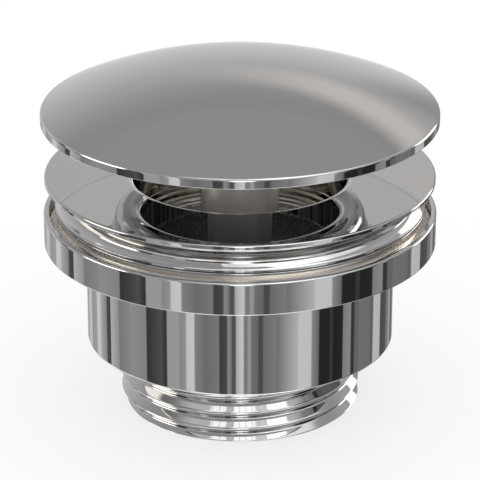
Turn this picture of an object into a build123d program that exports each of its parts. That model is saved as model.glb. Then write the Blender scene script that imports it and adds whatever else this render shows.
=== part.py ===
from build123d import *
from math import ceil, sqrt
import os

# A free-flow basin waste, in millimetres. It stands on the end of its tail, which is height zero,
# and every turned piece shares the upright axis. The driving sizes come first.

# Tail: an outside thread for the trap's nut, round an open bore. The pitch is the one in the picture.
tail_length = 11.6
tail_thread_radius = 20.955
tail_thread_pitch = 2.9
tail_thread_depth = 1.3
tail_wall = 2.155
tail_chamfer = 0.5
tail_undercut = 1.9
tail_undercut_extra = 0.15

# The thread's groove: the widths of its floor and mouth, how far its cutter reaches past the crest,
# and the bearing where it runs out under the cup.
groove_floor = 0.7
groove_mouth = 2.4
groove_past_crest = 0.2
groove_bearing = 118.8

# Cup: the wide part above the tail. Below its own thread it is hollowed out wider.
cup_height = 18.0
cup_wall = 3.0
cup_relief = 2.72
cup_floor = 2.2
cup_edge_round = 1.0

# Collar: the broad ring on top of the cup, a little wider than the flange, with a recess for the
# clamp ring.
collar_overhang = 0.28
collar_height = 5.75
collar_rim = 0.95
collar_edge_round = 0.8
collar_rim_round = 0.4
recess_depth = 2.75

# Clamp thread: the flange's tube screws into the cup. Both sides are plain cylinders here.
clamp_thread_radius = 21.0
clamp_thread_length = 11.0
tube_wall = 2.0
tube_end_gap = 2.07
tube_relief_width = 2.0
tube_relief_depth = 0.9
tube_end_chamfer = 0.6

# Throat: a rounded way in and a bore, with a shoulder over the wider seat of the cross.
throat_shoulder = 1.0
throat_round = 2.2
cross_seat_depth = 8.2

# Flange: a flat disc with an upright edge and an underside that slopes in.
flange_radius = 33.72
flange_edge = 0.8
flange_thickness = 1.7
flange_slope_width = 1.4
flange_edge_round = 0.25

# Rings and seals between flange and collar. A seal lies in a rabbet of its ring, a little proud.
ring_bore_gap = 3.0
seat_ring_inset = 1.72
seat_ring_height = 3.9
seat_ring_edge = 0.4
seat_ring_crown = 4.06
seat_ring_round = 4.4
seat_ring_shoulder = 0.85
seal_inset = 2.4
seal_thickness = 2.0
seal_proud = 0.05
lip_gap = 1.05
lip_thickness = 0.45
lip_above_collar = 0.42
cove_depth = 0.5
clamp_ring_foot = 0.7

# Cross: a ring with turned grooves above a ledge, with arms that carry a hub.
cross_height = 9.4
cross_ring_inset = 0.15
cross_ledge_depth = 3.7
cross_ledge_width = 1.65
cross_groove_depth = 0.45
cross_groove_width = 0.5
cross_groove_count = 2
arm_count = 4
arm_width = 3.2
arm_height = 4.2
hub_radius = 7.6
hub_height = 4.8

# Socket, spindle and washer: the cap's spindle screws down into the socket.
socket_radius = 6.7
socket_above_flange = 2.6
socket_spigot_radius = 5.2
stud_radius = 4.0
stud_length = 9.0
spindle_radius = 5.6
spindle_edge_round = 0.3
washer_radius = 5.4
washer_thickness = 0.8

# Cap: a thin dome with an upright edge, closed from below by a base with a round bead that hangs over
# the throat's mouth, a dish inside the bead, and a boss over the dish.
cap_radius = 34.17
cap_gap = 9.88
cap_edge = 1.65
cap_rise = 7.6
cap_wall = 1.0
cap_edge_round = 0.2
base_thickness = 0.8
bead_radius = 19.2
bead_round = 2.5
bead_depth = 4.08
bead_foot_round = 0.6
dish_depth = 4.0
dish_corner_round = 0.5
boss_radius = 7.5
boss_roof = 0.3
spigot_length = 2.4

# Clearances: a thread that runs, a fixed seat, a loose ring on a shaft, and the end of a blind hole.
running_clearance = 0.08
seated_clearance = 0.05
loose_clearance = 0.3
blind_clearance = 0.5

# Radii that follow: the tail, the tube with its throat and cross, the cup round it, and then the
# wide pieces, which all follow the flange.
tail_root_radius = tail_thread_radius - tail_thread_depth
tail_bore_radius = tail_root_radius - tail_wall
cross_seat_radius = clamp_thread_radius - tube_wall
throat_radius = cross_seat_radius - throat_shoulder
cross_ring_radius = throat_radius - cross_ring_inset
cross_ledge_radius = cross_ring_radius - cross_ledge_width
cup_thread_radius = clamp_thread_radius + running_clearance
cup_inner_radius = cup_thread_radius + cup_relief
cup_radius = cup_inner_radius + cup_wall
ring_bore_radius = clamp_thread_radius + ring_bore_gap
collar_radius = flange_radius + collar_overhang
recess_radius = collar_radius - collar_rim
lip_radius = recess_radius - lip_gap
seal_radius = lip_radius - seal_inset
seat_ring_radius = flange_radius - seat_ring_inset

# Heights that follow, from the tail's end upwards.
cup_bottom = tail_length
cup_inside = cup_bottom + cup_floor
collar_bottom = cup_bottom + cup_height
collar_top = collar_bottom + collar_height
recess_floor = collar_top - recess_depth
clamp_thread_bottom = recess_floor - clamp_thread_length
lip_bottom = collar_top + lip_above_collar
lip_top = lip_bottom + lip_thickness
seals_meet = lip_top + seal_proud
seat_ring_bottom = seals_meet + seal_proud
flange_bottom = seals_meet + seat_ring_height
flange_top = flange_bottom + flange_thickness
tube_bottom = cup_inside + tube_end_gap
cross_top = flange_top - cross_seat_depth
cross_ledge = cross_top - cross_ledge_depth
cross_bottom = cross_top - cross_height
hub_top = cross_bottom + hub_height
socket_top = flange_top + socket_above_flange
spindle_bottom = socket_top + washer_thickness
stud_bottom = spindle_bottom - stud_length
cap_bottom = flange_top + cap_gap
cap_rim_top = cap_bottom + cap_edge
cap_apex = cap_rim_top + cap_rise
base_top = cap_bottom + base_thickness
dish_ceiling = cap_bottom + dish_depth
boss_top = dish_ceiling + spigot_length + blind_clearance + boss_roof

os.makedirs("parts", exist_ok=True)


def corner(sketch, radius, height):
    """The corner of a half profile that lies nearest to a radius and a height."""
    return sketch.vertices().sort_by_distance((radius, height))[0]


def finish(part, label):
    """Names a finished piece and writes it to its own file."""
    part.label = label
    export_step(part, f"parts/{label}.step")


# One turn of the tail's thread groove, as a solid that is cut away again and again.
groove_reach = tail_thread_depth + groove_past_crest
groove_flank = (groove_mouth - groove_floor) / 2
groove_reach_half = groove_floor / 2 + groove_flank * groove_reach / tail_thread_depth
with BuildPart() as groove_turn:
    with BuildLine() as turn_path:
        Helix(tail_thread_pitch, tail_thread_pitch, tail_root_radius)
    with BuildSketch(Plane(turn_path.line @ 0, (1, 0, 0), turn_path.line % 0)):
        with BuildLine():
            Polyline(
                (0, -groove_floor / 2),
                (groove_reach, -groove_reach_half),
                (groove_reach, groove_reach_half),
                (0, groove_floor / 2),
                close=True,
            )
        make_face()
    sweep(path=turn_path.line, is_frenet=True)

# Lower body: tail, cup and collar turned from one bar, hollow from end to end. The tail comes first,
# and its groove's turns run on past both ends, so that the cup closes the last one.
undercut_radius = tail_root_radius - tail_undercut_extra
undercut_side = tail_thread_depth / 2
with BuildPart() as lower_body:
    with BuildSketch(Plane.XZ):
        with BuildLine():
            Polyline(
                (tail_bore_radius, 0),
                (tail_thread_radius - tail_chamfer, 0),
                (tail_thread_radius, tail_chamfer),
                (tail_thread_radius, cup_bottom - tail_undercut),
                (undercut_radius, cup_bottom - tail_undercut + undercut_side),
                (undercut_radius, cup_bottom),
                (tail_bore_radius, cup_bottom),
                close=True,
            )
        make_face()
    revolve(axis=Axis.Z)
    for number in range(ceil((cup_bottom + groove_mouth / 2) / tail_thread_pitch)):
        turn_height = cup_bottom - (number + 1) * tail_thread_pitch
        with Locations(Location((0, 0, turn_height), (0, 0, groove_bearing))):
            add(groove_turn.part, mode=Mode.SUBTRACT)

    with BuildSketch(Plane.XZ) as cup_profile:
        with BuildLine():
            Polyline(
                (tail_bore_radius, cup_bottom),
                (cup_radius, cup_bottom),
                (cup_radius, collar_bottom),
                (collar_radius, collar_bottom),
                (collar_radius, collar_top),
                (recess_radius, collar_top),
                (recess_radius, recess_floor),
                (cup_thread_radius, recess_floor),
                (cup_thread_radius, clamp_thread_bottom),
                (cup_inner_radius, clamp_thread_bottom - cup_relief),
                (cup_inner_radius, cup_inside),
                (tail_bore_radius, cup_inside),
                close=True,
            )
        make_face()
        fillet(corner(cup_profile, cup_radius, cup_bottom), radius=cup_edge_round)
        fillet(corner(cup_profile, collar_radius, collar_bottom), radius=collar_edge_round)
        fillet(corner(cup_profile, collar_radius, collar_top), radius=collar_rim_round)
    revolve(axis=Axis.Z)
finish(lower_body.part, "lower_body")

# Clamp ring: lies in the collar's recess. A thin lip stands over a hollow outer side.
ring_foot_radius = recess_radius - seated_clearance
ring_foot_top = recess_floor + clamp_ring_foot
neck_radius = lip_radius - cove_depth
rabbet_radius = seal_radius + seated_clearance
lower_seal_bottom = seals_meet - seal_thickness
with BuildPart() as clamp_ring:
    with BuildSketch(Plane.XZ):
        with BuildLine():
            Polyline(
                (ring_foot_radius, ring_foot_top),
                (ring_foot_radius, recess_floor),
                (ring_bore_radius, recess_floor),
                (ring_bore_radius, lower_seal_bottom),
                (rabbet_radius, lower_seal_bottom),
                (rabbet_radius, lip_top),
                (lip_radius, lip_top),
                (lip_radius, lip_bottom),
                (neck_radius, lip_bottom),
            )
            ThreePointArc(
                (neck_radius, lip_bottom),
                (neck_radius + cove_depth / 4, (lip_bottom + ring_foot_top) / 2),
                (ring_foot_radius, ring_foot_top),
            )
        make_face()
    revolve(axis=Axis.Z)
finish(clamp_ring.part, "clamp_ring")

# Lower seal: a flat rubber ring in the clamp ring, pressed on the basin's underside.
seal_bore_radius = clamp_thread_radius + loose_clearance
with BuildPart() as lower_seal:
    with BuildSketch(Plane.XY.offset(lower_seal_bottom)):
        Circle(seal_radius)
        Circle(seal_bore_radius, mode=Mode.SUBTRACT)
    extrude(amount=seal_thickness)
finish(lower_seal.part, "lower_seal")

# Upper seal: the same ring turned over, pressed on the basin's top side.
with BuildPart() as upper_seal:
    with BuildSketch(Plane.XY.offset(seals_meet)):
        Circle(seal_radius)
        Circle(seal_bore_radius, mode=Mode.SUBTRACT)
    extrude(amount=seal_thickness)
finish(upper_seal.part, "upper_seal")

# Seat ring: lies under the flange, and its crowned side falls to a thin edge over the clamp ring's
# lip. The upper seal is in its underside.
upper_seal_top = seals_meet + seal_thickness
crown_radius = seat_ring_radius - seat_ring_crown
crown_top = flange_bottom - seat_ring_shoulder
edge_top = seat_ring_bottom + seat_ring_edge
with BuildPart() as seat_ring:
    with BuildSketch(Plane.XZ):
        with BuildLine():
            Polyline(
                (crown_radius, crown_top),
                (crown_radius, flange_bottom),
                (ring_bore_radius, flange_bottom),
                (ring_bore_radius, upper_seal_top),
                (rabbet_radius, upper_seal_top),
                (rabbet_radius, seat_ring_bottom),
                (seat_ring_radius, seat_ring_bottom),
                (seat_ring_radius, edge_top),
            )
            RadiusArc((seat_ring_radius, edge_top), (crown_radius, crown_top), -seat_ring_round)
        make_face()
    revolve(axis=Axis.Z)
finish(seat_ring.part, "seat_ring")

# Seat flange: the polished disc, its rounded throat, and the tube that screws into the cup.
tube_relief_radius = clamp_thread_radius - tube_relief_depth
with BuildPart() as seat_flange:
    with BuildSketch(Plane.XZ) as flange_profile:
        with BuildLine():
            Polyline(
                (throat_radius, cross_top),
                (throat_radius, flange_top),
                (flange_radius, flange_top),
                (flange_radius, flange_top - flange_edge),
                (flange_radius - flange_slope_width, flange_bottom),
                (tube_relief_radius, flange_bottom),
                (tube_relief_radius, flange_bottom - tube_relief_width),
                (clamp_thread_radius, flange_bottom - tube_relief_width - tube_relief_depth),
                (clamp_thread_radius, tube_bottom + tube_end_chamfer),
                (clamp_thread_radius - tube_end_chamfer, tube_bottom),
                (cross_seat_radius, tube_bottom),
                (cross_seat_radius, cross_top),
                close=True,
            )
        make_face()
        fillet(corner(flange_profile, throat_radius, flange_top), radius=throat_round)
        fillet(corner(flange_profile, flange_radius, flange_top), radius=flange_edge_round)
    revolve(axis=Axis.Z)
finish(seat_flange.part, "seat_flange")

# Cross: its ring screws up against the shoulder in the throat, and its arms carry the hub.
cross_outer_radius = cross_seat_radius - seated_clearance
hub_hole_radius = socket_spigot_radius + seated_clearance
groove_spacing = cross_ledge_depth / (cross_groove_count + 1)
with BuildPart() as cross_insert:
    with BuildSketch(Plane.XZ):
        with BuildLine():
            Polyline(
                (cross_outer_radius, cross_bottom),
                (cross_outer_radius, cross_top),
                (cross_ring_radius, cross_top),
                (cross_ring_radius, cross_ledge),
                (cross_ledge_radius, cross_ledge),
                (cross_ledge_radius, cross_bottom),
                close=True,
            )
        make_face()
        for number in range(cross_groove_count):
            groove_height = cross_top - (number + 1) * groove_spacing
            with Locations((cross_ring_radius, groove_height)):
                Rectangle(2 * cross_groove_depth, cross_groove_width, mode=Mode.SUBTRACT)
    revolve(axis=Axis.Z)
    with BuildSketch(Plane.XY.offset(cross_bottom)):
        arm_reach = (cross_ledge_radius + cross_outer_radius) / 2
        with PolarLocations(arm_reach / 2, arm_count):
            Rectangle(arm_reach, arm_width)
    extrude(amount=arm_height)
    with BuildSketch(Plane.XY.offset(cross_bottom)):
        Circle(hub_radius)
    extrude(amount=hub_height)
    with BuildSketch(Plane.XY.offset(cross_bottom)):
        Circle(hub_hole_radius)
    extrude(amount=hub_height, mode=Mode.SUBTRACT)
finish(cross_insert.part, "cross_insert")

# Hub socket: a satin sleeve whose spigot fills the hub, with the hole that takes the cap's stud.
socket_bore_radius = stud_radius + running_clearance
with BuildPart() as hub_socket:
    with BuildSketch(Plane.XZ):
        with BuildLine():
            Polyline(
                (socket_bore_radius, cross_bottom),
                (socket_spigot_radius, cross_bottom),
                (socket_spigot_radius, hub_top),
                (socket_radius, hub_top),
                (socket_radius, socket_top),
                (socket_bore_radius, socket_top),
                close=True,
            )
        make_face()
    revolve(axis=Axis.Z)
    rims = hub_socket.edges().filter_by(GeomType.CIRCLE).group_by(Axis.Z)[-1]
    fillet(rims.sort_by(SortBy.RADIUS)[-1], radius=spindle_edge_round)
finish(hub_socket.part, "hub_socket")

# Washer: a flat ring between the socket and the spindle's shoulder.
with BuildPart() as stem_washer:
    with BuildSketch(Plane.XY.offset(socket_top)):
        Circle(washer_radius)
        Circle(stud_radius + loose_clearance, mode=Mode.SUBTRACT)
    extrude(amount=washer_thickness)
finish(stem_washer.part, "stem_washer")

# Spindle: a satin shaft under the cap, with a stud below it and a spigot in the cap's boss.
with BuildPart() as cap_stem:
    with BuildSketch(Plane.XY.offset(stud_bottom)):
        Circle(stud_radius)
    extrude(amount=stud_length)
    chamfer(cap_stem.faces().sort_by(Axis.Z)[0].edges(), length=tube_end_chamfer)
    with BuildSketch(Plane.XY.offset(spindle_bottom)):
        Circle(spindle_radius)
    extrude(amount=dish_ceiling - spindle_bottom)
    with BuildSketch(Plane.XY.offset(dish_ceiling)):
        Circle(stud_radius)
    extrude(amount=spigot_length)
finish(cap_stem.part, "cap_stem")

# Cap base: a pressed disc with a round bead drawn down in it, a dish drawn up inside the bead round
# the spindle, and a boss for the spindle's spigot.
cap_inner_radius = cap_radius - cap_wall
boss_hole_radius = stud_radius + seated_clearance
bead_bottom = cap_bottom - bead_depth
bead_middle = bead_bottom + bead_round
bead_inside = bead_radius - bead_round
bead_outside = bead_radius + bead_round
hollow_inside = bead_inside + base_thickness
hollow_outside = bead_outside - base_thickness
dish_top = dish_ceiling + base_thickness
with BuildPart() as cap_base:
    with BuildSketch(Plane.XZ) as base_profile:
        with BuildLine():
            Polyline(
                (0, dish_ceiling + spigot_length + blind_clearance),
                (boss_hole_radius, dish_ceiling + spigot_length + blind_clearance),
                (boss_hole_radius, dish_ceiling),
                (bead_inside, dish_ceiling),
                (bead_inside, bead_middle),
            )
            ThreePointArc(
                (bead_inside, bead_middle),
                (bead_radius, bead_bottom),
                (bead_outside, bead_middle),
            )
            Polyline(
                (bead_outside, bead_middle),
                (bead_outside, cap_bottom),
                (cap_inner_radius - seated_clearance, cap_bottom),
                (cap_inner_radius - seated_clearance, base_top),
                (hollow_outside, base_top),
                (hollow_outside, bead_middle),
            )
            ThreePointArc(
                (hollow_outside, bead_middle),
                (bead_radius, bead_bottom + base_thickness),
                (hollow_inside, bead_middle),
            )
            Polyline(
                (hollow_inside, bead_middle),
                (hollow_inside, dish_top),
                (boss_radius, dish_top),
                (boss_radius, boss_top),
                (0, boss_top),
                (0, dish_ceiling + spigot_length + blind_clearance),
            )
        make_face()
        fillet(corner(base_profile, bead_outside, cap_bottom), radius=bead_foot_round)
        fillet(corner(base_profile, bead_inside, dish_ceiling), radius=dish_corner_round)
        fillet(corner(base_profile, hollow_inside, dish_top), radius=dish_corner_round + base_thickness)
    revolve(axis=Axis.Z)
finish(cap_base.part, "cap_base")

# Cap shell: a pressed dome of even thickness whose edge is turned down round the base.
dome_radius = (cap_radius**2 + cap_rise**2) / (2 * cap_rise)
dome_centre = cap_apex - dome_radius
inner_dome_radius = dome_radius - cap_wall


def dome_height(sphere, radius):
    """Height of a sphere about the dome's centre, at a distance from the axis."""
    return dome_centre + sqrt(sphere**2 - radius**2)


with BuildPart() as cap_shell:
    with BuildSketch(Plane.XZ) as shell_profile:
        with BuildLine():
            Polyline(
                (cap_inner_radius, dome_height(inner_dome_radius, cap_inner_radius)),
                (cap_inner_radius, cap_bottom),
                (cap_radius, cap_bottom),
                (cap_radius, cap_rim_top),
            )
            ThreePointArc(
                (cap_radius, cap_rim_top),
                (cap_radius / 2, dome_height(dome_radius, cap_radius / 2)),
                (0, cap_apex),
            )
            Line((0, cap_apex), (0, cap_apex - cap_wall))
            ThreePointArc(
                (0, cap_apex - cap_wall),
                (cap_inner_radius / 2, dome_height(inner_dome_radius, cap_inner_radius / 2)),
                (cap_inner_radius, dome_height(inner_dome_radius, cap_inner_radius)),
            )
        make_face()
        fillet(corner(shell_profile, cap_radius, cap_bottom), radius=cap_edge_round)
        fillet(corner(shell_profile, cap_radius, cap_rim_top), radius=cap_edge_round)
    revolve(axis=Axis.Z)
finish(cap_shell.part, "cap_shell")
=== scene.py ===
import bpy
from math import atan2, cos, hypot, pi, radians, sin, sqrt, tan
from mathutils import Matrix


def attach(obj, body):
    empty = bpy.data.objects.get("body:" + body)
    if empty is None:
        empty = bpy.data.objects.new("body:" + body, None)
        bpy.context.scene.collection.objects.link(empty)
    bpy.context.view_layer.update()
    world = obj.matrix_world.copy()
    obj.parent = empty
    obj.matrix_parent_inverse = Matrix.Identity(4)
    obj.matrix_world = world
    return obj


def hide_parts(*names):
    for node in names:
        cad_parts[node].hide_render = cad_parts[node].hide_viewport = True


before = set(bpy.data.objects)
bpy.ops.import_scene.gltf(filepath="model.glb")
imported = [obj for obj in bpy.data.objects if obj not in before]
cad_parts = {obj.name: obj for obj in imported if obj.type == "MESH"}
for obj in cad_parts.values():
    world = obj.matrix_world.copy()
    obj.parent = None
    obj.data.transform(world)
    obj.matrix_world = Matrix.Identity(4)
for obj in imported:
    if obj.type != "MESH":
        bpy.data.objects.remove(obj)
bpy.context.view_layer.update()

# Camera. It stands in front of the waste and looks down on it a little, through a long lens.
# It aims at a point on the upright axis, about half way up.
aim_height = 0.028945
camera_distance = 0.47127
camera_elevation = radians(22.51)
lens = bpy.data.cameras.new("camera")
lens.lens = 202.8
lens.sensor_width = 36.0
camera = bpy.data.objects.new("camera", lens)
camera.location = (
    0,
    -camera_distance * cos(camera_elevation),
    aim_height + camera_distance * sin(camera_elevation),
)
camera.rotation_euler = (pi / 2 - camera_elevation, 0, 0)
bpy.context.scene.collection.objects.link(camera)
bpy.context.scene.camera = camera
bpy.context.scene.view_settings.view_transform = "Standard"


# Studio. Polished metal shows the room round it: a grey ceiling with a warm strip, tall windows, soft
# boards at eye level, a ring of grey, white and black boards below them, and a table with a sheen near
# the waste. To the camera, and to all that isn't polished, the room is plain soft white.
def place(tree, kind, inputs=None, **settings):
    """A new node. Its inputs are values or other nodes' outputs, by name or number."""
    made = tree.nodes.new(kind)
    for name, value in settings.items():
        setattr(made, name, value)
    for name, value in (inputs or {}).items():
        if isinstance(value, bpy.types.NodeSocket):
            tree.links.new(value, made.inputs[name])
        else:
            made.inputs[name].default_value = value
    return made


def work(tree, operation, *values):
    """The result of a Math node."""
    made = place(tree, "ShaderNodeMath", dict(enumerate(values)), operation=operation)
    return made.outputs[0]


def ease(tree, value, start, end):
    """0 at start, 1 at end, with a smooth way between them."""
    inputs = {"Value": value, "From Min": start, "From Max": end}
    made = place(tree, "ShaderNodeMapRange", inputs, interpolation_type="SMOOTHSTEP")
    return made.outputs["Result"]


def band(tree, value, rise, fall):
    """1 between two soft edges, 0 outside them. An edge says where it is 0 and where it is 1."""
    return work(tree, "MULTIPLY", ease(tree, value, *rise), ease(tree, value, *fall))


def levels(tree, value, low, high, steps):
    """Grey levels at given values between low and high, from a colour ramp."""
    share = place(tree, "ShaderNodeMapRange", {"Value": value, "From Min": low, "From Max": high})
    made = place(tree, "ShaderNodeValToRGB", {"Fac": share.outputs["Result"]})
    stops = made.color_ramp.elements
    while len(stops) < len(steps):
        stops.new(0.5)
    for stop, (at, level) in zip(stops, steps):
        stop.position = (at - low) / (high - low)
        stop.color = (level, level, level, 1)
    return made.outputs["Color"]


def mixed(tree, share, first, second):
    """One colour over another."""
    inputs = {0: share, 6: first, 7: second}
    made = place(tree, "ShaderNodeMix", inputs, data_type="RGBA")
    return made.outputs[2]


# Directions are in degrees. Bearing is 0 behind the waste, across is 0 in front of it, and both grow
# to the right. Height is above eye level.
world = bpy.data.worlds.new("studio")
bpy.context.scene.world = world
world.use_nodes = True
room = world.node_tree
room.nodes.clear()
way = place(room, "ShaderNodeTexCoord").outputs["Generated"]
way = place(room, "ShaderNodeSeparateXYZ", {0: way}).outputs
to_degrees = 180 / pi
bearing = work(room, "MULTIPLY", work(room, "ARCTAN2", way[0], way[1]), to_degrees)
across = work(room, "WRAP", work(room, "SUBTRACT", 180.0, bearing), 180.0, -180.0)
height = work(room, "MULTIPLY", work(room, "ARCSINE", way[2]), to_degrees)

# Bare room, from straight down to straight up: table, far wall, grey ceiling.
bare = levels(room, height, -90, 90, [
    (-90, 1.06), (-40, 1.00), (-30, 0.88), (-22, 0.79), (-14, 0.735), (-6, 0.69), (5, 0.645), (14, 0.58),
    (24, 0.49), (34, 0.39), (40, 0.36), (46, 0.39), (90, 0.39),
])

# Warm strip of light on the ceiling, behind on the right, and a grey screen below it.
strip_middle = work(room, "MULTIPLY_ADD", bearing, 0.28, 24.0)
strip_off = work(room, "ABSOLUTE", work(room, "SUBTRACT", height, strip_middle))
strip = work(room, "MULTIPLY", ease(room, strip_off, 9, 1), band(room, bearing, (-12, 16), (100, 60)))
bare = mixed(room, strip, bare, (0.75, 0.70, 0.66, 1))
screen = work(room, "MULTIPLY", band(room, bearing, (9, 19), (70, 50)), ease(room, height, 24, 14))
bare = mixed(room, screen, bare, (0.38, 0.38, 0.38, 1))

# Boards below eye level, a quarter of the ring at a time: the bearing where each starts, and the grey
# of its two ends. Each ends where the next one starts.
quarter = 90
board_edge = 0.35
quarters = []
for first, boards in (
    (-180, [
        (-180, 0.74, 0.60), (-177, 0.12, 0.12), (-174, 0.26, 0.38), (-170.7, 0.10, 0.07),
        (-164.7, 0.28, 0.22), (-154, 0.24, 0.32), (-146, 0.85, 0.80), (-139.5, 0.42, 0.36),
        (-134, 0.47, 0.47), (-124, 0.04, 0.12), (-118, 0.10, 0.05), (-106, 0.34, 0.40),
    ]),
    (-90, [
        (-90, 0.36, 0.28), (-77, 0.42, 0.62), (-66.5, 0.08, 0.10), (-61, 0.33, 0.56),
        (-51, 0.76, 0.82), (-44, 0.48, 0.38), (-32, 0.64, 0.68), (-22, 0.42, 0.46),
        (-9.5, 0.83, 0.83),
    ]),
    (0, [
        (0, 0.83, 0.83), (9.5, 0.38, 0.27), (19, 0.14, 0.14), (24.7, 0.42, 0.42),
        (31.5, 0.22, 0.24), (37.5, 0.12, 0.10), (49.5, 0.65, 0.70), (61, 0.20, 0.16),
        (65, 0.22, 0.235), (80, 0.19, 0.19), (85, 0.055, 0.055), (88.8, 0.36, 0.36),
    ]),
    (90, [
        (90, 0.36, 0.30), (97, 0.03, 0.025), (106.5, 0.06, 0.06), (109.5, 0.028, 0.028),
        (119, 0.20, 0.36), (125.3, 0.78, 0.80), (136, 0.66, 0.24), (153, 0.30, 0.22),
        (163, 0.10, 0.10), (166.5, 0.20, 0.24), (172, 0.45, 0.45), (174.5, 0.28, 0.28),
        (177.3, 0.85, 0.76),
    ]),
):
    steps = []
    ends = [start for start, level, last in boards[1:]] + [first + quarter]
    for (start, level, last), end in zip(boards, ends):
        steps += [(start + board_edge, level), (end - board_edge, last)]
    quarters.append(levels(room, bearing, first, first + quarter, steps))
left_half = mixed(room, work(room, "GREATER_THAN", bearing, -90.0), quarters[0], quarters[1])
right_half = mixed(room, work(room, "GREATER_THAN", bearing, 90.0), quarters[2], quarters[3])
board_ring = mixed(room, work(room, "GREATER_THAN", bearing, 0.0), left_half, right_half)

# The boards behind stay below eye level. The others reach a little above it.
boards_top = ease(room, work(room, "ABSOLUTE", bearing), 35, 65)
boards_top = work(room, "MULTIPLY_ADD", boards_top, 24.0, -14.0)
under_top = ease(room, work(room, "SUBTRACT", height, boards_top), 8, -4)
board_share = work(room, "MULTIPLY", under_top, ease(room, height, -56, -46))
seen = mixed(room, board_share, bare, board_ring)


def glazing(pane_half, bar, clear):
    """0 on the thin upright bars between a window's panes, 1 on the glass."""
    off_middle = work(room, "ABSOLUTE", work(room, "WRAP", across, pane_half, -pane_half))
    return ease(room, off_middle, bar, clear)


# Windows, high in front and to the right. The left one has the highest sill, the right one the
# brightest panes, and the bars stop above the lowest panes.
sill = work(room, "MULTIPLY_ADD", ease(room, across, -16, -10), -14.0, 54.0)
sill = work(room, "MULTIPLY_ADD", ease(room, across, 16, 26), -8.5, sill)
above_sill = ease(room, work(room, "SUBTRACT", height, sill), -2.5, 3)
window = work(room, "MULTIPLY", above_sill, ease(room, height, 84, 78))
window = work(room, "MULTIPLY", window, band(room, across, (-50, -47), (96, 86)))
panes = work(room, "MAXIMUM", glazing(5.5, 5.3, 4.9), ease(room, height, 56, 53))
window = work(room, "MULTIPLY", window, panes)
daylight = levels(room, across, -60, 100, [
    (-60, 1.3), (-14, 1.3), (-8, 0.95), (4, 1.2), (22, 1.8), (56, 1.8), (66, 1.15), (100, 0.95),
])
seen = mixed(room, window, seen, daylight)

# Sheen of the table close to the waste, where it mirrors the windows.
near_waste = band(room, height, (-82, -78), (-47, -51))
sheen = work(room, "MULTIPLY", near_waste, band(room, across, (-48, -46), (64, 61)))
panes = work(room, "MAXIMUM", glazing(5.0, 4.8, 4.2), ease(room, across, 36, 38))
sheen = work(room, "MULTIPLY", sheen, panes)
table_light = levels(room, across, -60, 100, [
    (-60, 2.2), (-25, 2.2), (-24, 1.1), (-14, 1.1), (-13, 2.4), (19, 2.4), (20, 1.4), (36, 1.4),
    (37, 2.4), (100, 2.4),
])
seen = mixed(room, sheen, seen, table_light)

# A warm lamp low on the left, and soft boards at eye level on the left, behind on the right and in
# front: the edges of each across and in height, and its light.
eye_level = ((-7, -4), (19, 15))
for sides, heights, light in (
    (((-140, -132), (-72, -86)), ((-42, -38), (-27, -30)), (2.0, 1.87, 1.7, 1)),
    (((-100, -94), (-64, -70)), eye_level, (4.2, 3.9, 3.6, 1)),
    (((112, 118), (146, 140)), eye_level, (3.4, 3.2, 3.0, 1)),
    (((-8, -2), (10, 4)), eye_level, (3.0, 3.0, 3.0, 1)),
):
    share = work(room, "MULTIPLY", band(room, across, *sides), band(room, height, *heights))
    seen = mixed(room, share, seen, light)

ray = place(room, "ShaderNodeLightPath").outputs
plain = place(room, "ShaderNodeBackground", {"Color": (1, 1, 1, 1), "Strength": 1.0})
mirrored = place(room, "ShaderNodeBackground", {"Color": seen, "Strength": 1.0})
lit = place(room, "ShaderNodeMixShader", {
    0: ray["Is Glossy Ray"], 1: plain.outputs[0], 2: mirrored.outputs[0],
})
place(room, "ShaderNodeOutputWorld", {"Surface": lit.outputs[0]})


# Floor. A white table that shows only the soft shadow. Polished metal looks past it, at the boards
# and the table of the room, because the metal in the photograph shows a room and no white ground.
def paint(name):
    """A new material with its tree emptied but for an output, and that output."""
    made = bpy.data.materials.new(name)
    made.use_nodes = True
    made.node_tree.nodes.clear()
    return made, place(made.node_tree, "ShaderNodeOutputMaterial")


floor_half = 2.0
floor_mesh = bpy.data.meshes.new("floor")
floor_mesh.from_pydata([
    (-floor_half, -floor_half, 0), (floor_half, -floor_half, 0),
    (floor_half, floor_half, 0), (-floor_half, floor_half, 0),
], [], [(0, 1, 2, 3)])
floor = bpy.data.objects.new("floor", floor_mesh)
bpy.context.scene.collection.objects.link(floor)
floor_white, floor_output = paint("floor_white")
tree = floor_white.node_tree
ray = place(tree, "ShaderNodeLightPath").outputs
matt = place(tree, "ShaderNodeBsdfDiffuse", {"Color": (0.35, 0.35, 0.35, 1)})
lift = place(tree, "ShaderNodeEmission", {"Color": (1, 1, 1, 1), "Strength": 0.66})
lifted = place(tree, "ShaderNodeAddShader", {0: matt.outputs[0], 1: lift.outputs[0]})
to_camera = place(tree, "ShaderNodeMixShader", {
    0: ray["Is Camera Ray"], 1: matt.outputs[0], 2: lifted.outputs[0],
})
clear = place(tree, "ShaderNodeBsdfTransparent")
mix = place(tree, "ShaderNodeMixShader", {
    0: ray["Is Glossy Ray"], 1: to_camera.outputs[0], 2: clear.outputs[0],
})
tree.links.new(mix.outputs[0], floor_output.inputs["Surface"])
floor_mesh.materials.append(floor_white)


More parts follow.
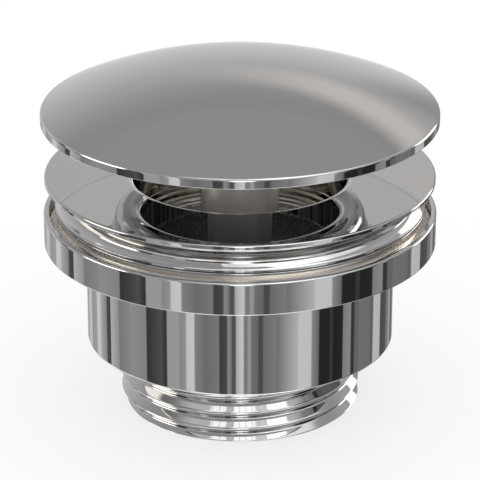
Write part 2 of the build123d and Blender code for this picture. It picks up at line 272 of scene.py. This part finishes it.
# Lower body: collar and cup, turned from one bar of brass, polished and chromed. The cup holds the
# flange's tube, and the collar's recess holds the clamp ring. Every edge is broken by the polish.
def rounded(corners, steps=7):
    """Points of a turned outline in millimetres, with the way that the surface faces there.
    A corner is its distance from the axis, its height and its edge radius."""
    points = []
    last = len(corners) - 1
    for number, (radius, height, edge) in enumerate(corners):
        before = corners[number - 1]
        after = corners[(number + 1) % len(corners)]
        back = (before[0] - radius, before[1] - height)
        ahead = (after[0] - radius, after[1] - height)
        back_length = hypot(*back)
        ahead_length = hypot(*ahead)
        if radius == 0 and number in (0, last):
            points.append((0.0, height, 0.0, 1 if number == last else -1))
            continue
        back = (back[0] / back_length, back[1] / back_length)
        ahead = (ahead[0] / ahead_length, ahead[1] / ahead_length)
        facing_in = (-back[1], back[0])
        facing_out = (ahead[1], -ahead[0])
        turn = atan2(
            facing_in[0] * facing_out[1] - facing_in[1] * facing_out[0],
            facing_in[0] * facing_out[0] + facing_in[1] * facing_out[1],
        )
        if abs(turn) < 0.03 or edge == 0:
            facing = (facing_in[0] + facing_out[0], facing_in[1] + facing_out[1])
            size = hypot(*facing)
            points.append((radius, height, facing[0] / size, facing[1] / size))
            continue
        reach = tan(abs(turn) / 2)
        cut = min(edge * reach, 0.45 * back_length, 0.45 * ahead_length)
        edge = cut / reach
        hand = 1 if turn > 0 else -1
        start = (radius + back[0] * cut, height + back[1] * cut)
        centre = (start[0] - hand * edge * facing_in[0], start[1] - hand * edge * facing_in[1])
        for step in range(steps + 1):
            angle = turn * step / steps
            facing = (
                facing_in[0] * cos(angle) - facing_in[1] * sin(angle),
                facing_in[0] * sin(angle) + facing_in[1] * cos(angle),
            )
            points.append((
                centre[0] + hand * edge * facing[0], centre[1] + hand * edge * facing[1], *facing,
            ))
    return points


def turned(name, points, slices=256):
    """A turned piece from its outline, which runs with the metal on its left, as a new object."""
    places = []
    facings = []
    rings = []
    for radius, height, facing_out, facing_up in points:
        ring = []
        for number in range(1 if radius == 0 else slices):
            angle = 2 * pi * number / slices
            ring.append(len(places))
            places.append((radius * cos(angle) / 1000, radius * sin(angle) / 1000, height / 1000))
            facings.append((facing_out * cos(angle), facing_out * sin(angle), facing_up))
        rings.append(ring)
    faces = []
    pairs = list(zip(rings, rings[1:]))
    if points[0][0] != 0:
        pairs.append((rings[-1], rings[0]))
    for lower, upper in pairs:
        for number in range(slices):
            after = (number + 1) % slices
            face = [lower[number % len(lower)], lower[after % len(lower)],
                    upper[after % len(upper)], upper[number % len(upper)]]
            faces.append([corner for at, corner in enumerate(face) if corner != face[at - 1]])
    mesh = bpy.data.meshes.new(name)
    mesh.from_pydata(places, [], faces)
    mesh.polygons.foreach_set("use_smooth", [True] * len(faces))
    mesh.update()
    mesh.normals_split_custom_set_from_vertices(facings)
    made = bpy.data.objects.new(name, mesh)
    bpy.context.scene.collection.objects.link(made)
    return made


def fit(piece, material, body, slot, *nodes):
    """Gives a finished piece its material, its body and the nodes that it stands for."""
    if not piece.data.materials:
        piece.data.materials.append(material)
    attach(piece, body)
    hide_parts(*nodes)


def add_inputs(tree, kind, *names):
    """Named inputs of one kind on a node group."""
    for name in names:
        tree.interface.new_socket(name, in_out="INPUT", socket_type="NodeSocket" + kind)


def noise(tree, where, scale, detail):
    """The value of a Noise texture."""
    inputs = {"Vector": where, "Scale": scale, "Detail": detail}
    return place(tree, "ShaderNodeTexNoise", inputs).outputs[0]


def bump(tree, relief, strength, distance):
    """The normal of a surface with a fine relief."""
    inputs = {"Height": relief, "Strength": strength, "Distance": distance}
    return place(tree, "ShaderNodeBump", inputs).outputs[0]


# Polish: what a buffing wheel leaves, as faint cloudy haze and a very slight waviness. The chrome on
# top follows it.
polish = bpy.data.node_groups.new("polish", "ShaderNodeTree")
add_inputs(polish, "Vector", "Place")
add_inputs(polish, "Float", "Cloud size", "Gloss", "Haze")
for name in ("Roughness", "Height"):
    polish.interface.new_socket(name, in_out="OUTPUT", socket_type="NodeSocketFloat")
given = place(polish, "NodeGroupInput").outputs
clouds = noise(polish, given["Place"], work(polish, "DIVIDE", 1.0, given["Cloud size"]), 3.0)
waves = noise(polish, given["Place"], work(polish, "DIVIDE", 3.0, given["Cloud size"]), 1.0)
hazy = work(polish, "MULTIPLY_ADD", ease(polish, clouds, 0.42, 0.75), given["Haze"], given["Gloss"])
place(polish, "NodeGroupOutput", {"Roughness": hazy, "Height": waves})

chrome, chrome_output = paint("chrome")
tree = chrome.node_tree
where = place(tree, "ShaderNodeTexCoord").outputs["Object"]
buffed = place(tree, "ShaderNodeGroup", {
    "Place": where, "Cloud size": 0.009, "Gloss": 0.025, "Haze": 0.03,
}, node_tree=polish)
metal = place(tree, "ShaderNodeBsdfPrincipled", {
    "Base Color": (0.64, 0.64, 0.645, 1), "Metallic": 1.0,
    "Roughness": buffed.outputs["Roughness"],
    "Normal": bump(tree, buffed.outputs["Height"], 0.25, 0.000004),
})
tree.links.new(metal.outputs[0], chrome_output.inputs["Surface"])


# Bored and hidden faces are chromed as the tool left them, a little dull and warm.
def as_turned(name, tint, metallic, gloss):
    """A turned metal that was never polished."""
    made, output = paint(name)
    tree = made.node_tree
    tooled = place(tree, "ShaderNodeGroup", {
        "Place": place(tree, "ShaderNodeTexCoord").outputs["Object"],
        "Cloud size": 0.005, "Gloss": gloss, "Haze": 0.08,
    }, node_tree=polish)
    metal = place(tree, "ShaderNodeBsdfPrincipled", {
        "Base Color": tint, "Metallic": metallic, "Roughness": tooled.outputs["Roughness"],
    })
    tree.links.new(metal.outputs[0], output.inputs["Surface"])
    return made


recessed = as_turned("recessed", (0.84, 0.81, 0.775, 1), 0.85, 0.10)
bored = as_turned("bored", (0.66, 0.63, 0.585, 1), 1.0, 0.09)


def part_dull(piece, material, dull, chosen):
    """Two finishes on one piece: the second, a dull finish or a painted shade, where the test of radius
    and height holds.
    """
    if not piece.data.materials:
        piece.data.materials.append(material)
    piece.data.materials.append(dull)
    for face in piece.data.polygons:
        middle = face.center * 1000
        if chosen(hypot(middle.x, middle.y), middle.z):
            face.material_index = len(piece.data.materials) - 1


tail_bore = 17.5
cup_bottom = 11.6
cup_floor = 13.8
cup_radius = 26.8
cup_inside = 23.8
clamp_bore = 21.08
clamp_bore_bottom = 21.6
bore_slope = 2.72
collar_radius = 34.0
collar_bottom = 29.6
collar_top = 35.35
recess_radius = 33.05
recess_floor = 32.6
lower_body = turned("waste_body", rounded([
    (tail_bore, cup_bottom, 0.1), (cup_radius, cup_bottom, 0.5), (cup_radius, collar_bottom, 0.15),
    (collar_radius, collar_bottom, 0.25), (collar_radius, collar_top, 0.7),
    (recess_radius, collar_top, 0.12), (recess_radius, recess_floor, 0.1),
    (clamp_bore, recess_floor, 0.3), (clamp_bore, clamp_bore_bottom, 0.2),
    (cup_inside, clamp_bore_bottom - bore_slope, 0.4), (cup_inside, cup_floor, 0.4),
    (tail_bore, cup_floor, 0.3),
]))


def inside_body(radius, height):
    """Whether a place is on the collar's recess or inside the cup."""
    in_recess = radius < recess_radius + 0.15 and recess_floor - 0.1 < height < collar_top - 0.05
    in_cup = radius < cup_inside + 1.2 and height > cup_bottom + 0.2
    return in_recess or in_cup


part_dull(lower_body, chrome, recessed, inside_body)
fit(lower_body, chrome, "body", "chrome_body", "lower_body")


# Tail thread: cut on the tail of the same bar, for the trap's nut. Its crests and roots are rounded,
# it starts on a chamfer at the end and runs out in an undercut below the cup.
threads = bpy.data.node_groups.new("turned thread", "GeometryNodeTree")
add_inputs(threads, "Float", "Top", "Bottom", "Bore", "Crest", "Depth", "Pitch", "Start")
add_inputs(threads, "Float", "Groove floor", "Groove mouth", "Chamfer", "Undercut", "Undercut width")
add_inputs(threads, "Int", "Slices", "Rows")
add_inputs(threads, "Material", "Metal")
threads.interface.new_socket("Geometry", in_out="OUTPUT", socket_type="NodeSocketGeometry")
given = place(threads, "NodeGroupInput").outputs
grid = place(threads, "GeometryNodeMeshGrid", {
    "Size X": 1.0, "Size Y": 1.0, "Vertices X": work(threads, "ADD", given["Slices"], 1),
    "Vertices Y": given["Rows"],
})
spot = place(threads, "GeometryNodeInputPosition").outputs[0]
spot = place(threads, "ShaderNodeSeparateXYZ", {0: spot}).outputs
turn = work(threads, "ADD", spot[0], 0.5)

# A grid is rolled up into a tube. Its first two rows are the bore, from top to bottom, the next ones
# run up the thread, and the last one lies on the first.
last_row = work(threads, "SUBTRACT", given["Rows"], 1)
row = work(threads, "MULTIPLY", work(threads, "ADD", spot[1], 0.5), last_row)
row = work(threads, "ROUND", row)
rise = work(threads, "DIVIDE", work(threads, "SUBTRACT", row, 2), work(threads, "SUBTRACT", last_row, 3))
rise = work(threads, "MINIMUM", work(threads, "MAXIMUM", rise, 0.0), 1.0)
tall = work(threads, "SUBTRACT", given["Top"], given["Bottom"])
level = work(threads, "MULTIPLY_ADD", rise, tall, given["Bottom"])

# How far up the flank a place is: 0 at the root, 1 at the crest, both rounded.
phase = work(threads, "DIVIDE", work(threads, "SUBTRACT", level, given["Start"]), given["Pitch"])
phase = work(threads, "WRAP", work(threads, "SUBTRACT", phase, turn), 0.5, -0.5)
off_groove = work(threads, "MULTIPLY", work(threads, "ABSOLUTE", phase), 2)
off_groove = work(threads, "MULTIPLY", off_groove, given["Pitch"])
crested = place(threads, "ShaderNodeMapRange", {
    "Value": off_groove, "From Min": given["Groove floor"], "From Max": given["Groove mouth"],
    "To Min": -0.08, "To Max": 1.08,
}, clamp=False).outputs["Result"]
crested = work(threads, "SMOOTH_MIN", work(threads, "SMOOTH_MAX", crested, 0.0, 0.2), 1.0, 0.2)
root = work(threads, "SUBTRACT", given["Crest"], given["Depth"])
radius = work(threads, "MULTIPLY_ADD", crested, given["Depth"], root)

# Chamfer at the bottom, and a sloping way into the undercut at the top.
above = work(threads, "SUBTRACT", level, given["Bottom"])
cone = work(threads, "ADD", work(threads, "SUBTRACT", given["Crest"], given["Chamfer"]), above)
radius = work(threads, "SMOOTH_MIN", radius, cone, 0.00012)
undercut_bottom = work(threads, "SUBTRACT", given["Top"], given["Undercut width"])
into_undercut = work(threads, "SUBTRACT", level, undercut_bottom)
down = work(threads, "MULTIPLY_ADD", into_undercut, -1.8, given["Crest"])
down = work(threads, "MAXIMUM", down, given["Undercut"])
radius = work(threads, "MINIMUM", radius, down)

first_row = work(threads, "COMPARE", row, 0, 0.1)
inner = work(threads, "ADD", first_row, work(threads, "COMPARE", row, 1, 0.1))
inner = work(threads, "ADD", inner, work(threads, "COMPARE", row, last_row, 0.1))
radius = work(threads, "MULTIPLY_ADD", inner, work(threads, "SUBTRACT", given["Bore"], radius), radius)
level = work(threads, "MULTIPLY_ADD", first_row, tall, level)
angle = work(threads, "MULTIPLY", turn, 2 * pi)
where = place(threads, "ShaderNodeCombineXYZ", {
    0: work(threads, "MULTIPLY", radius, work(threads, "COSINE", angle)),
    1: work(threads, "MULTIPLY", radius, work(threads, "SINE", angle)), 2: level,
})
shaped = place(threads, "GeometryNodeSetPosition", {
    "Geometry": grid.outputs["Mesh"], "Position": where.outputs[0],
})
closed = place(threads, "GeometryNodeMergeByDistance", {
    "Geometry": shaped.outputs[0], "Distance": 0.000002,
})
smooth = place(threads, "GeometryNodeSetShadeSmooth", {0: closed.outputs[0]})


def finish_tree(tree, geometry):
    """Ends a geometry tree: real geometry with its material."""
    real = place(tree, "GeometryNodeRealizeInstances", {0: geometry})
    metalled = place(tree, "GeometryNodeSetMaterial", {
        "Geometry": real.outputs[0], "Material": given["Metal"],
    })
    place(tree, "NodeGroupOutput", {"Geometry": metalled.outputs[0]})


finish_tree(threads, smooth.outputs[0])


def grown(name, tree, values):
    """A plain mesh object from a geometry tree, with its named inputs set."""
    seed = bpy.data.objects.new(name + "_seed", bpy.data.meshes.new(name + "_seed"))
    bpy.context.scene.collection.objects.link(seed)
    grower = seed.modifiers.new("grower", "NODES")
    grower.node_group = tree
    for item in tree.interface.items_tree:
        if item.item_type == "SOCKET" and item.in_out == "INPUT":
            grower[item.identifier] = values[item.name]
    bpy.context.view_layer.update()
    ready = seed.evaluated_get(bpy.context.evaluated_depsgraph_get())
    mesh = bpy.data.meshes.new_from_object(ready)
    mesh.name = name
    bpy.data.objects.remove(seed)
    made = bpy.data.objects.new(name, mesh)
    bpy.context.scene.collection.objects.link(made)
    return made


tail_crest = 0.020955
tail_depth = 0.0013
tail_pitch = 0.0029
groove_bearing = 118.8
tail_thread = grown("tail_thread", threads, {
    "Top": 0.0119, "Bottom": 0.0, "Bore": tail_bore / 1000, "Crest": tail_crest, "Depth": tail_depth,
    "Pitch": tail_pitch, "Start": cup_bottom / 1000 - tail_pitch * groove_bearing / 360,
    "Groove floor": 0.0, "Groove mouth": tail_pitch, "Chamfer": 0.0005,
    "Undercut": tail_crest - tail_depth - 0.00015, "Undercut width": 0.0022,
    "Slices": 256, "Rows": 204, "Metal": chrome,
})
fit(tail_thread, chrome, "body", "chrome_body", "lower_body")


# Clamp ring: a turned and chromed ring that lies in the collar's recess. A thin lip stands over its
# hollow outer side, and the lower seal lies in its rabbet.
seals_meet = 36.27
seal_thickness = 2.0
ring_bore = 24.0
ring_radius = 33.0
rabbet_radius = 29.65
rabbet_floor = seals_meet - seal_thickness
lip_radius = 32.0
lip_bottom = 35.77
lip_top = 36.22
clamp_ring = turned("clamp_ring_metal", rounded([
    (ring_bore, recess_floor, 0.2), (ring_radius, recess_floor, 0.15), (ring_radius, 33.3, 0.2),
    (32.2, 33.75, 0.6), (31.55, 34.8, 0.8), (31.5, lip_bottom, 0.15),
    (lip_radius, lip_bottom, 0.15), (lip_radius, lip_top, 0.12), (rabbet_radius, lip_top, 0.15),
    (rabbet_radius, rabbet_floor, 0.1), (ring_bore, rabbet_floor, 0.15),
]))
part_dull(clamp_ring, chrome, recessed, lambda radius, height: height < lip_bottom + 0.02)
fit(clamp_ring, chrome, "body", "chrome_body", "clamp_ring")


# Seals: two flat rubber rings, moulded, a little proud of the rings that hold them. They meet here,
# and grip the basin's wall between them when the waste is fitted.
rubber, rubber_output = paint("rubber")
tree = rubber.node_tree
where = place(tree, "ShaderNodeTexCoord").outputs["Object"]
grain = noise(tree, where, 2500.0, 4.0)
bloom = noise(tree, where, 130.0, 2.0)
skin = place(tree, "ShaderNodeBsdfPrincipled", {
    "Base Color": mixed(tree, bloom, (0.022, 0.022, 0.022, 1), (0.045, 0.044, 0.042, 1)),
    "Roughness": work(tree, "MULTIPLY_ADD", bloom, 0.25, 0.55),
    "Normal": bump(tree, grain, 0.4, 0.00004), "IOR": 1.5,
})
tree.links.new(skin.outputs[0], rubber_output.inputs["Surface"])

seal_bore = 21.3
seal_radius = 29.6
for name, bottom, body in (("lower_seal", rabbet_floor, "body"), ("upper_seal", seals_meet, "seat")):
    top = bottom + seal_thickness
    seal = turned(name + "_rubber", rounded([
        (seal_bore, bottom, 0.2), (seal_radius, bottom, 0.2), (seal_radius, top, 0.2),
        (seal_bore, top, 0.2),
    ], steps=3))
    fit(seal, rubber, body, "seal_rubber", name)


# Seat ring: a turned and chromed ring with a round side, between the flange and the basin. The
# upper seal lies in its underside.
def arc(centre_radius, centre_height, size, first, last, steps=16):
    """Outline points round a centre, between two angles in degrees."""
    points = []
    for number in range(steps + 1):
        swing = radians(first + (last - first) * number / steps)
        points.append((centre_radius + size * cos(swing), centre_height + size * sin(swing), 0))
    return points


flange_bottom = 40.17
seat_rabbet = seals_meet + seal_thickness
seat_bottom = seals_meet + 0.05
crown_radius = 27.94
crown_middle = 34.97
crown_round = 4.35
neck_radius = 27.7
neck_bottom = crown_middle + crown_round
seat_ring = turned("seat_ring_metal", rounded([
    (ring_bore, seat_rabbet, 0.1), (rabbet_radius, seat_rabbet, 0.1), (rabbet_radius, seat_bottom, 0.15),
    (lip_radius, seat_bottom, 0.15), (lip_radius, seat_bottom + 0.4, 0.1),
    *arc(crown_radius, crown_middle, crown_round, 24.4, 90),
    (neck_radius, neck_bottom, 0.2), (neck_radius, flange_bottom, 0.1), (ring_bore, flange_bottom, 0.2),
]))


def on_neck(radius, height):
    """Whether a place is on the narrow neck below the flange, or beside it in the bore."""
    return radius < neck_radius + 0.5 and height > neck_bottom - 0.3


part_dull(seat_ring, chrome, recessed, on_neck)
fit(seat_ring, chrome, "seat", "chrome_body", "seat_ring")


# Seat flange: a turned disc with a polished face, a rounded way into its throat, and a tube below
# that screws down into the cup.
flange_top = 41.87
flange_radius = 33.72
flange_edge = 0.8
flange_slope = 1.4
throat_radius = 18.0
throat_round = 2.2
cross_top = 33.67
tube_bore = 19.0
tube_bottom = 15.87
tube_radius = 20.1
seat_flange = turned("seat_flange_metal", rounded([
    (throat_radius, cross_top, 0.1), (tube_bore, cross_top, 0.1), (tube_bore, tube_bottom, 0.1),
    (tube_radius, tube_bottom, 0.1), (tube_radius, flange_bottom, 0.2),
    (flange_radius - flange_slope, flange_bottom, 0.3), (flange_radius, flange_top - flange_edge, 0.15),
    (flange_radius, flange_top, 0.35), (throat_radius, flange_top, throat_round),
]))


def in_throat(radius, height):
    """Whether a place is on the throat's wall, below its rounded mouth."""
    return radius < throat_radius + 0.4 and height < flange_top - throat_round


def under_flange(radius, height):
    """Whether a place is on the flange's underside or outside its tube."""
    return radius > tube_bore + 0.5 and height < flange_bottom + 0.13


part_dull(seat_flange, chrome, bored, in_throat)
part_dull(seat_flange, chrome, recessed, under_flange)
fit(seat_flange, chrome, "flange", "chrome_body", "seat_flange")

tube_thread = grown("clamp_thread", threads, {
    "Top": 0.03817, "Bottom": tube_bottom / 1000, "Bore": 0.0195, "Crest": 0.021, "Depth": 0.0008,
    "Pitch": 0.0015, "Start": 0.02, "Groove floor": 0.0002, "Groove mouth": 0.0013,
    "Chamfer": 0.0006, "Undercut": tube_radius / 1000, "Undercut width": 0.0008,
    "Slices": 192, "Rows": 260, "Metal": chrome,
})
fit(tube_thread, chrome, "flange", "chrome_body", "seat_flange")


# Cross: a turned ring with two grooves above a ledge, screwed up into the throat. Four arms carry
# the hub in its middle.
cross_bottom = 24.27
cross_ledge = 29.97
cross_bore = 16.2
cross_radius = 18.95
mouth_radius = 17.85
ledge_depth = 3.7
groove_half = 0.25
groove_radius = 18.3
grooves = []
for third in (2, 1):
    middle = cross_ledge + ledge_depth * third / 3
    grooves += [(mouth_radius, middle + groove_half, 0.05), (groove_radius, middle + groove_half, 0.08)]
    grooves += [(groove_radius, middle - groove_half, 0.08), (mouth_radius, middle - groove_half, 0.05)]
cross_ring = turned("cross_ring", rounded([
    (cross_bore, cross_bottom, 0.3), (cross_radius, cross_bottom, 0.2), (cross_radius, cross_top, 0.1),
    (mouth_radius, cross_top, 0.1), *grooves, (mouth_radius, cross_ledge, 0.2),
    (cross_bore, cross_ledge, 0.3),
]))
fit(cross_ring, bored, "flange", "chrome_body", "cross_insert")

hub_bore = 5.25
hub_radius = 7.6
hub_top = 29.07
cross_hub = turned("cross_hub", rounded([
    (hub_bore, cross_bottom, 0.2), (hub_radius, cross_bottom, 0.3), (hub_radius, hub_top, 0.4),
    (hub_bore, hub_top, 0.1),
]), slices=128)
fit(cross_hub, bored, "flange", "chrome_body", "cross_insert")

spokes = bpy.data.node_groups.new("cross arms", "GeometryNodeTree")
add_inputs(spokes, "Int", "Arms")
add_inputs(spokes, "Float", "From", "To", "Middle", "Width", "Height", "Edge")
add_inputs(spokes, "Material", "Metal")
spokes.interface.new_socket("Geometry", in_out="OUTPUT", socket_type="NodeSocketGeometry")
given = place(spokes, "NodeGroupInput").outputs
near = place(spokes, "ShaderNodeCombineXYZ", {0: given["From"], 2: given["Middle"]}).outputs[0]
far = place(spokes, "ShaderNodeCombineXYZ", {0: given["To"], 2: given["Middle"]}).outputs[0]
line = place(spokes, "GeometryNodeCurvePrimitiveLine", {"Start": near, "End": far})
section = place(spokes, "GeometryNodeCurvePrimitiveQuadrilateral", {
    "Width": given["Width"], "Height": given["Height"],
})
section = place(spokes, "GeometryNodeFilletCurve", {
    "Curve": section.outputs[0], "Radius": given["Edge"], "Count": 4,
}, mode="POLY")
arm = place(spokes, "GeometryNodeCurveToMesh", {
    "Curve": line.outputs[0], "Profile Curve": section.outputs[0], "Fill Caps": True,
})
middles = place(spokes, "GeometryNodeMeshLine", {"Count": given["Arms"], "Offset": (0, 0, 0)})
number = place(spokes, "GeometryNodeInputIndex").outputs[0]
round_turn = work(spokes, "DIVIDE", work(spokes, "MULTIPLY", number, 2 * pi), given["Arms"])
facing = place(spokes, "ShaderNodeCombineXYZ", {2: round_turn}).outputs[0]
arms = place(spokes, "GeometryNodeInstanceOnPoints", {
    "Points": middles.outputs[0], "Instance": arm.outputs[0],
    "Rotation": place(spokes, "FunctionNodeEulerToRotation", {0: facing}).outputs[0],
})
finish_tree(spokes, arms.outputs[0])
arm_height = 0.0042
cross_arms = grown("cross_arms", spokes, {
    "Arms": 4, "From": 0.0072, "To": 0.0172, "Middle": cross_bottom / 1000 + arm_height / 2,
    "Width": 0.0032, "Height": arm_height, "Edge": 0.0004, "Metal": bored,
})
fit(cross_arms, bored, "flange", "chrome_body", "cross_insert")


# Hub socket: a turned sleeve with a satin finish, pressed into the hub. The cap's stud screws into
# it, and its wide part stands up through the throat.
satin, satin_output = paint("satin")
tree = satin.node_tree
where = place(tree, "ShaderNodeTexCoord").outputs["Object"]
rings = place(tree, "ShaderNodeMapping", {"Vector": where, "Scale": (60, 60, 9000)}).outputs[0]
lathe = noise(tree, rings, 1.0, 4.0)
metal = place(tree, "ShaderNodeBsdfPrincipled", {
    "Base Color": mixed(tree, lathe, (0.80, 0.765, 0.73, 1), (0.90, 0.865, 0.83, 1)),
    "Metallic": 0.7, "Roughness": work(tree, "MULTIPLY_ADD", lathe, 0.12, 0.40),
    "Normal": bump(tree, lathe, 0.5, 0.000004),
    "Anisotropic": 0.85, "Anisotropic Rotation": 0.25,
    "Tangent": place(tree, "ShaderNodeTangent", direction_type="RADIAL", axis="Z").outputs[0],
})
tree.links.new(metal.outputs[0], satin_output.inputs["Surface"])

socket_bore = 4.08
spigot_radius = 5.2
socket_radius = 6.7
socket_top = 44.47
hub_socket = turned("hub_socket_metal", rounded([
    (socket_bore, cross_bottom, 0.1), (spigot_radius, cross_bottom, 0.1), (spigot_radius, hub_top, 0.05),
    (socket_radius, hub_top, 0.2), (socket_radius, socket_top, 0.3), (socket_bore, socket_top, 0.2),
]), slices=128)
fit(hub_socket, satin, "flange", "satin_metal", "hub_socket")


# Washer: a flat ring stamped from white plastic. It is pressed between the socket and the spindle's
# shoulder, and keeps the cap from working loose.
plastic, plastic_output = paint("plastic")
tree = plastic.node_tree
where = place(tree, "ShaderNodeTexCoord").outputs["Object"]
mottle = noise(tree, where, 900.0, 3.0)
skin = place(tree, "ShaderNodeBsdfPrincipled", {
    "Base Color": mixed(tree, mottle, (0.70, 0.70, 0.68, 1), (0.78, 0.78, 0.76, 1)),
    "Roughness": work(tree, "MULTIPLY_ADD", mottle, 0.15, 0.38),
    "Normal": bump(tree, mottle, 0.2, 0.00001), "IOR": 1.5,
})
tree.links.new(skin.outputs[0], plastic_output.inputs["Surface"])

washer_bore = 4.3
washer_radius = 5.4
washer_top = 45.27
washer = turned("stem_washer_plastic", rounded([
    (washer_bore, socket_top, 0.1), (washer_radius, socket_top, 0.12),
    (washer_radius, washer_top, 0.12), (washer_bore, washer_top, 0.1),
], steps=3), slices=128)
fit(washer, plastic, "washer", "washer_plastic", "stem_washer")


# Spindle: a turned shaft under the cap, satin like the socket. A stud below it screws into the
# socket, and a spigot above it is held in the cap base's boss.
stud_radius = 4.0
stud_bottom = 36.27
spindle_radius = 5.6
dish_ceiling = 55.75
spigot_top = 58.15
spindle = turned("spindle", rounded([
    (0, stud_bottom, 0), (stud_radius - 0.6, stud_bottom, 0.1), (stud_radius, stud_bottom + 0.6, 0.1),
    (stud_radius, washer_top, 0.05), (spindle_radius, washer_top, 0.25),
    (spindle_radius, dish_ceiling, 0.05), (stud_radius, dish_ceiling, 0.05),
    (stud_radius, spigot_top, 0.3), (0, spigot_top, 0),
]), slices=128)
fit(spindle, satin, "cap", "satin_metal", "cap_stem")


# Cap base: a pressed sheet that closes the cap from below. A round bead is drawn down in it over the
# throat's mouth, and a dish with a boss is drawn up inside the bead. The dish is painted near black as
# the shade in its hollow, with light reflection streaks painted along the tool marks, and the rest is
# polished.
painted_shade_dish, painted_shade_dish_output = paint("dish_painted_shade")
tree = painted_shade_dish.node_tree
where = place(tree, "ShaderNodeTexCoord").outputs["Object"]
flat = place(tree, "ShaderNodeVectorMath", {0: where, 1: (1, 1, 0)}, operation="MULTIPLY").outputs[0]
spoke = place(tree, "ShaderNodeVectorMath", {0: flat}, operation="NORMALIZE").outputs[0]
far = place(tree, "ShaderNodeVectorMath", {0: flat}, operation="LENGTH").outputs["Value"]
marks = place(tree, "ShaderNodeTexNoise", {
    "Vector": spoke, "W": work(tree, "MULTIPLY", far, 200.0), "Scale": 28.0, "Detail": 4.0,
}, noise_dimensions="4D").outputs[0]
tool_marks_and_painted_streaks = ease(tree, marks, 0.35, 0.7)
# Painted shade: a near-black base colour for the shade in the dish's hollow, with lighter streaks
# painted along the tool marks as their reflections. The marks are also a real relief in the bump.
metal = place(tree, "ShaderNodeBsdfPrincipled", {
    "Base Color": mixed(tree, tool_marks_and_painted_streaks, (0.10, 0.10, 0.10, 1), (0.60, 0.62, 0.64, 1)),
    "Metallic": 0.4, "Roughness": work(tree, "MULTIPLY_ADD", marks, 0.15, 0.12),
    "Normal": bump(tree, marks, 0.6, 0.00001), "Specular Tint": (0.3, 0.3, 0.3, 1),
})
tree.links.new(metal.outputs[0], painted_shade_dish_output.inputs["Surface"])

cap_bottom = 51.75
sheet = 0.8
base_radius = 33.12
bead_radius = 19.2
bead_middle = 50.17
bead_round = 2.5
bead_over = bead_round - sheet
dish_radius = bead_radius - bead_round
boss_bore = 4.05
boss_radius = 7.5
boss_top = 58.95
boss_ceiling = 58.65
cap_base = turned("cap_base_metal", rounded([
    (0, boss_ceiling, 0), (boss_bore, boss_ceiling, 0.1), (boss_bore, dish_ceiling, 0.1),
    (dish_radius, dish_ceiling, 0.5), *arc(bead_radius, bead_middle, bead_round, 180, 360),
    (bead_radius + bead_round, cap_bottom, 0.6), (base_radius, cap_bottom, 0.03),
    (base_radius, cap_bottom + sheet, 0.1), (bead_radius + bead_over, cap_bottom + sheet, 0.1),
    *arc(bead_radius, bead_middle, bead_over, 360, 180),
    (bead_radius - bead_over, dish_ceiling + sheet, 1.3),
    (boss_radius, dish_ceiling + sheet, 0.3), (boss_radius, boss_top, 0.4), (0, boss_top, 0),
]))


def in_dish(radius, height):
    """Whether a place is inside the dish, which the spindle stands in."""
    return radius < dish_radius + 0.05 and bead_middle < height < dish_ceiling + 0.25


# The inside of the dish gets the painted shade and painted reflection streaks.
part_dull(cap_base, chrome, painted_shade_dish, in_dish)
fit(cap_base, chrome, "cap", "chrome_body", "cap_base")


# Cap shell: a thin dome, pressed and polished. Its edge is turned down round the base, which it
# holds without a screw.
cap_radius = 34.17
cap_wall = 1.0
cap_rim_top = 53.40
cap_rise = 7.6
dome_round = (cap_radius ** 2 + cap_rise ** 2) / (2 * cap_rise)
dome_centre = cap_rim_top + cap_rise - dome_round
dome_steps = 32


def dome_line(sphere, reach, edge):
    """Outline points of a dome about the same centre, from the axis out to its edge."""
    line = []
    for number in range(dome_steps + 1):
        radius = reach * number / dome_steps
        at_edge = number == dome_steps
        line.append((radius, dome_centre + sqrt(sphere ** 2 - radius ** 2), edge if at_edge else 0))
    return line


shell = dome_line(dome_round - cap_wall, cap_radius - cap_wall, 0.2)
shell += [(cap_radius - cap_wall, cap_bottom, 0.03), (cap_radius, cap_bottom, 0.15)]
shell += dome_line(dome_round, cap_radius, 0.6)[::-1]
fit(turned("cap_shell_metal", rounded(shell)), chrome, "cap", "chrome_body", "cap_shell")
